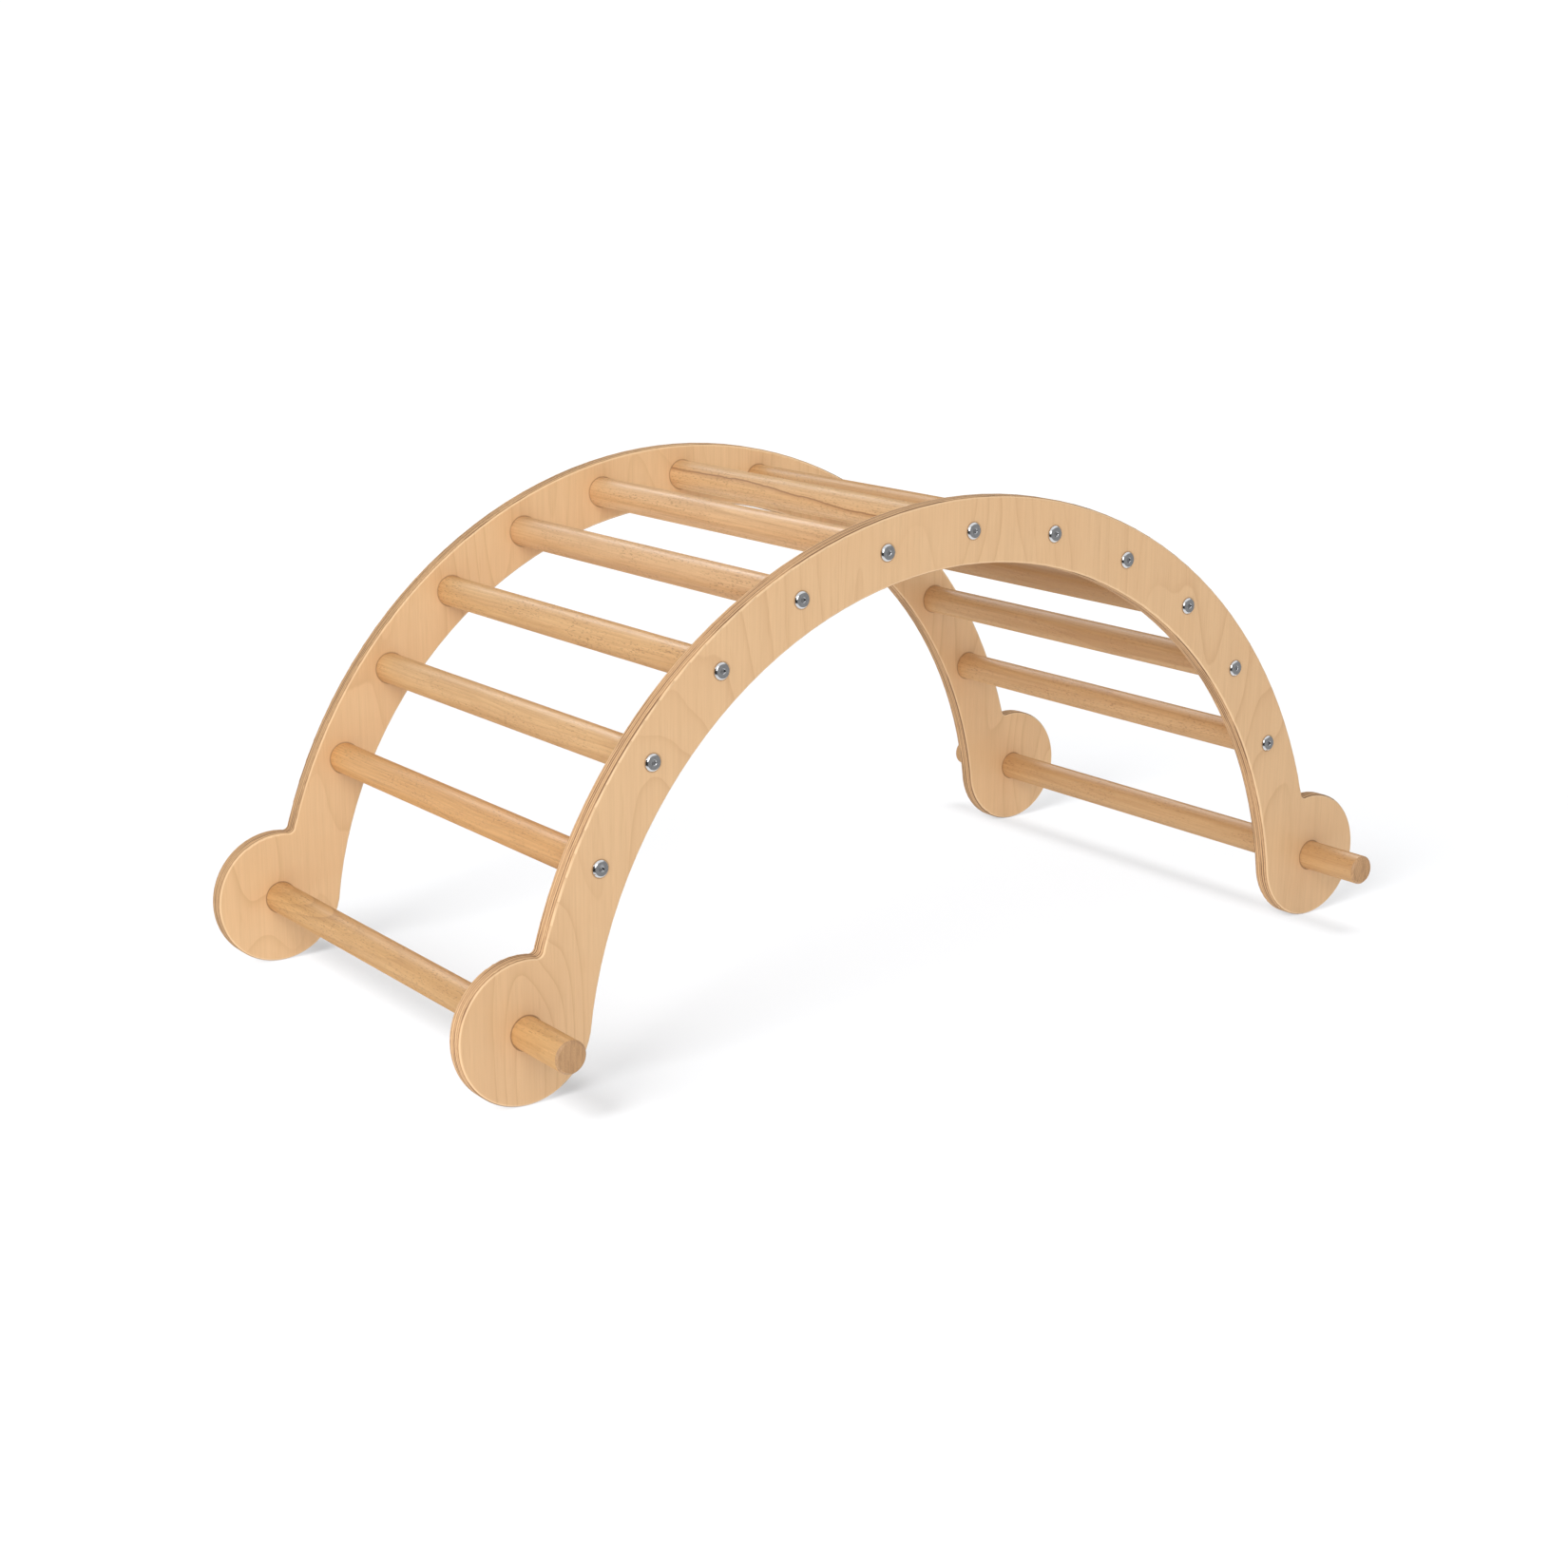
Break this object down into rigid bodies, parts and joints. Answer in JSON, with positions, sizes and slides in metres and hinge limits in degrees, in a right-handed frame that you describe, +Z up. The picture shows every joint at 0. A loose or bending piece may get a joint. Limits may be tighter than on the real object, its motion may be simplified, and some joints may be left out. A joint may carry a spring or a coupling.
{
  "type": "wooden rocker arch",
  "caption": "Climbing and rocking arch: two plywood arch panels with round feet, joined by bolted round rungs and two end bars that stand out as pegs.",
  "frame": {"origin": "on the floor under the middle of the arch, halfway between the two side panels", "axes": "+X along the arch towards its right foot, +Y along the rungs from the front panel to the rear panel, +Z up"},
  "size_m": [1.1486, 0.674, 0.5086],
  "materials": {
    "birch_plywood": "satin clear lacquer",
    "beech": "satin clear lacquer",
    "zinc_steel": "bright zinc plate",
    "insert_metal": "zinc plate"
  },
  "bodies": {
    "root": {"front_side_panel": "birch_plywood", "rear_side_panel": "birch_plywood", "rung_01": "beech", "rung_02": "beech", "rung_03": "beech", "rung_04": "beech", "rung_05": "beech", "rung_06": "beech", "rung_07": "beech", "rung_08": "beech", "rung_09": "beech", "rung_10": "beech", "rung_11": "beech", "left_end_bar": "beech", "right_end_bar": "beech", "front_bolts": "zinc_steel", "rear_bolts": "zinc_steel", "front_inserts": "insert_metal", "rear_inserts": "insert_metal"}
  },
  "joints": []
}
